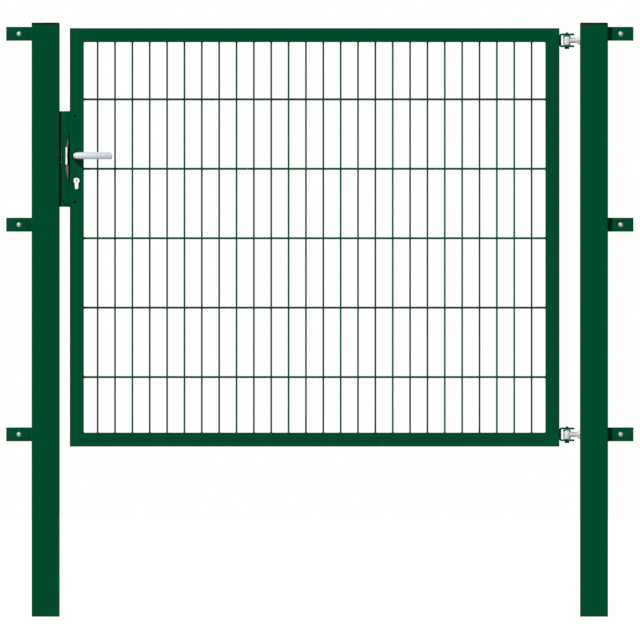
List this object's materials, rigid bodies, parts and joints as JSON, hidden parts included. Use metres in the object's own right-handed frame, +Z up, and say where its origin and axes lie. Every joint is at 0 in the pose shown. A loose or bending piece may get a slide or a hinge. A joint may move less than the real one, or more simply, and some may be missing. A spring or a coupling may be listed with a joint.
{
  "type": "single fence gate",
  "caption": "Single-leaf garden fence gate: welded square-tube frame with a double-rod wire mesh, hung on two posts, with a lever lock, fence lugs and post caps.",
  "frame": {"origin": "centre of the hinge post's foot", "axes": "+Z up along the post; +X from the latch post to the hinge post; -Y towards the front, where the leaf opens to"},
  "size_m": [1.807, 0.16, 1.711],
  "materials": {
    "green_coat": "satin green powder coat on galvanised steel",
    "zinc": "bright zinc plate",
    "black_plastic": "black plastic",
    "forend_steel": "brushed stainless steel",
    "guide_steel": "dull grey zinc plate",
    "black_steel": "black oxide",
    "nickel": "satin nickel plate on brass",
    "satin_aluminium": "satin anodised aluminium"
  },
  "bodies": {
    "posts": {"hinge_post": "green_coat", "latch_post": "green_coat", "hinge_post_cap": "black_plastic", "latch_post_cap": "black_plastic", "hinge_post_lug_low": "green_coat", "hinge_post_lug_mid": "green_coat", "hinge_post_lug_top": "green_coat", "latch_post_lug_low": "green_coat", "latch_post_lug_mid": "green_coat", "latch_post_lug_top": "green_coat", "hinge_post_lug_bolts": "zinc", "latch_post_lug_bolts": "zinc", "hinge_post_lug_nuts": "zinc", "latch_post_lug_nuts": "zinc", "stop_plate": "green_coat", "low_eye_bolt": "zinc", "top_eye_bolt": "zinc", "low_eye_nut": "zinc", "top_eye_nut": "zinc"},
    "leaf": {"hinge_stile": "green_coat", "lock_stile": "green_coat", "top_rail": "green_coat", "bottom_rail": "green_coat", "mesh_panel": "green_coat", "low_hinge_bracket": "green_coat", "top_hinge_bracket": "green_coat", "low_hinge_pin": "black_steel", "top_hinge_pin": "black_steel", "lock_case": "green_coat", "lock_forend": "forend_steel", "latch_guide": "guide_steel", "lock_screws": "black_steel", "cylinder_body": "nickel", "front_lever_sleeve": "black_plastic", "back_lever_sleeve": "black_plastic"},
    "lever_set": {"front_lever": "satin_aluminium", "back_lever": "satin_aluminium", "spindle": "guide_steel"},
    "latch": {"latch_bolt": "zinc"},
    "key_plug": {"key_plug": "nickel"}
  },
  "joints": [
    {"name": "gate_swing", "type": "hinge", "parent": "posts", "child": "leaf", "pos_m": [-0.078, -0.02, 1.0925], "axis": [0, 0, 1], "range_deg": [0, 100]},
    {"name": "lever_turn", "type": "hinge", "parent": "leaf", "child": "lever_set", "pos_m": [-1.4905, -0.02, 1.3275], "axis": [0, 1, 0], "range_deg": [0, 40], "stiffness_Nm_per_rad": 1.5, "springref_deg": -20.05},
    {"name": "latch_slide", "type": "slide", "parent": "leaf", "child": "latch", "axis": [1, 0, 0], "range_m": [0, 0.01121]},
    {"name": "key_turn", "type": "hinge", "parent": "leaf", "child": "key_plug", "pos_m": [-1.4905, -0.02, 1.2555], "axis": [0, 1, 0], "range_deg": [0, 360]}
  ],
  "couplings": [
    {"joint": "latch_slide", "follows": "lever_turn", "m_per_rad": 0.016043}
  ]
}
